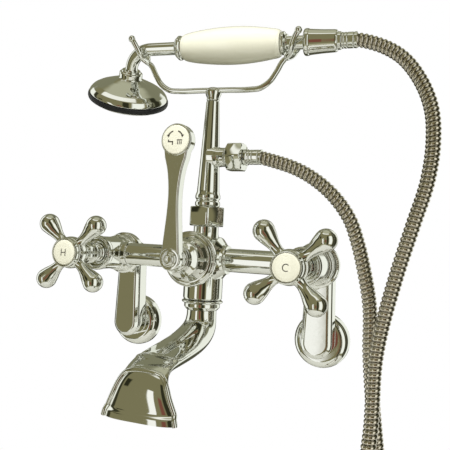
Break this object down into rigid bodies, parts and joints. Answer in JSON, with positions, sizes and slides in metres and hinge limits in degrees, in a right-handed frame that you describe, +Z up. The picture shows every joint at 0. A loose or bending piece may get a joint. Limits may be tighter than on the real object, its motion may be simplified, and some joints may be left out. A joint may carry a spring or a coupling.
{
  "type": "wall mounted bath faucet",
  "caption": "Traditional wall mounted bath mixer with cross handles, a lever diverter, a flared spout and a hand shower resting in a forked cradle on a riser.",
  "frame": {"origin": "on the wall plane, midway between the centres of the two water inlets", "axes": "+X towards the cold side, +Y into the wall, +Z up"},
  "size_m": [0.3129, 0.1578, 0.6203],
  "materials": {
    "chrome": "polished plating",
    "brass": "machined",
    "steel": "turned",
    "porcelain": "glazed ivory ceramic",
    "rubber": "matt",
    "spiral_hose": "double lock spiral"
  },
  "bodies": {
    "mixer": {"mixer_body": "chrome", "hot_bonnet": "chrome", "cold_bonnet": "chrome", "hot_cartridge": "brass", "cold_cartridge": "brass", "diverter_bonnet": "chrome", "diverter_cartridge": "brass", "spout_collar": "chrome", "spout_o_ring": "rubber", "spout": "chrome", "riser_nut": "chrome", "riser_washer": "rubber", "riser_column": "chrome", "hose_lower_washer": "rubber", "hose_lower_nut": "chrome", "hose_lower_ferrule": "chrome", "cradle": "chrome", "hose": "spiral_hose", "hot_union_nut": "chrome", "cold_union_nut": "chrome", "hot_swivel_washer": "rubber", "cold_swivel_washer": "rubber"},
    "hot_handle": {"hot_stem": "brass", "hot_cross_handle": "chrome", "hot_handle_screw": "steel", "hot_index_bezel": "chrome", "hot_index_button": "porcelain"},
    "cold_handle": {"cold_stem": "brass", "cold_cross_handle": "chrome", "cold_handle_screw": "steel", "cold_index_bezel": "chrome", "cold_index_button": "porcelain"},
    "diverter": {"diverter_stem": "brass", "diverter_lever": "chrome", "diverter_screw": "chrome", "diverter_button": "porcelain"},
    "hot_arm": {"hot_swing_arm": "chrome", "hot_wall_flange": "chrome", "hot_inlet_bushing": "brass"},
    "cold_arm": {"cold_swing_arm": "chrome", "cold_wall_flange": "chrome", "cold_inlet_bushing": "brass"},
    "handset": {"shower_head_shell": "chrome", "head_gasket": "rubber", "spray_plate": "chrome", "handset_neck": "chrome", "front_ferrule": "chrome", "inner_tube": "chrome", "porcelain_grip": "porcelain", "rear_ferrule": "chrome", "hose_upper_washer": "rubber", "hose_upper_nut": "chrome", "hose_upper_ferrule": "chrome"}
  },
  "joints": [
    {"name": "hot_handle_turn", "type": "hinge", "parent": "mixer", "child": "hot_handle", "pos_m": [-0.0915, -0.1185, 0.0655], "axis": [0, 1, 0], "range_deg": [-90, 0]},
    {"name": "cold_handle_turn", "type": "hinge", "parent": "mixer", "child": "cold_handle", "pos_m": [0.0915, -0.1185, 0.0655], "axis": [0, 1, 0], "range_deg": [0, 90]},
    {"name": "diverter_turn", "type": "hinge", "parent": "mixer", "child": "diverter", "pos_m": [0, -0.1185, 0.0655], "axis": [0, 1, 0], "range_deg": [-45, 45]},
    {"name": "hot_arm_swivel", "type": "hinge", "parent": "mixer", "child": "hot_arm", "pos_m": [-0.0915, -0.021, 0.0655], "axis": [0, 1, 0], "range_deg": [-60, 60]},
    {"name": "cold_arm_swivel", "type": "hinge", "parent": "mixer", "child": "cold_arm", "pos_m": [0.0915, -0.021, 0.0655], "axis": [0, 1, 0], "range_deg": [-60, 60]},
    {"name": "handset_lift", "type": "slide", "parent": "mixer", "child": "handset", "axis": [-0.3734, -0.0294, 0.9272], "range_m": [0, 0.06]}
  ]
}
